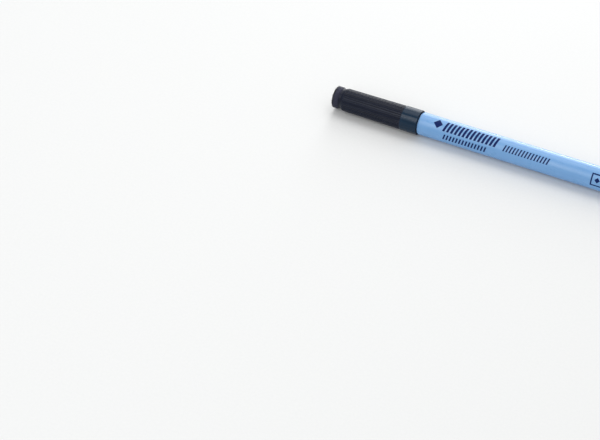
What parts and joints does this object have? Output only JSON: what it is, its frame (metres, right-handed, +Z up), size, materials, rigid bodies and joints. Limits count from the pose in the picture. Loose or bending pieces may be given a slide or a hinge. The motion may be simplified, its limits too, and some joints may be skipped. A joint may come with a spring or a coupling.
{
  "type": "marker pen",
  "caption": "Capped fine-tip marker pen with a ribbed pull-off cap, a felt wiper in the cap's closed end, a sprung pocket clip and a fibre nib.",
  "frame": {"origin": "middle of the pen's footprint on the surface that it lies on", "axes": "+X along the pen from the cap's closed end to the tail, +Z up, away from the surface"},
  "size_m": [0.141, 0.0127, 0.011],
  "materials": {
    "barrel_plastic": "satin gloss",
    "tail_plastic": "satin",
    "reservoir_fibre": "ink-soaked fibre",
    "wrap_film": "clear film",
    "section_plastic": "satin",
    "sleeve_steel": "drawn",
    "nib_fibre": "ink-soaked fibre",
    "cap_plastic": "satin",
    "liner_plastic": "natural",
    "wiper_felt": "pressed felt",
    "clip_plastic": "satin",
    "print_ink": "screen print"
  },
  "bodies": {
    "barrel": {"barrel_tube": "barrel_plastic", "tail_plug": "tail_plastic", "ink_reservoir": "reservoir_fibre", "reservoir_wrap": "wrap_film", "front_section": "section_plastic", "nib_sleeve": "sleeve_steel", "nib": "nib_fibre"},
    "cap": {"cap_shell": "cap_plastic", "cap_liner": "liner_plastic", "felt_wiper": "wiper_felt"},
    "clip": {"pocket_clip": "clip_plastic"}
  },
  "joints": [
    {"name": "cap_pull", "type": "slide", "parent": "barrel", "child": "cap", "axis": [-1, 0, 0], "range_m": [0, 0.045]},
    {"name": "clip_flex", "type": "hinge", "parent": "cap", "child": "clip", "pos_m": [-0.0599, 0.00492, 0.002], "axis": [0, 0.5185, 0.8551], "range_deg": [0, 4], "stiffness_Nm_per_rad": 1}
  ]
}
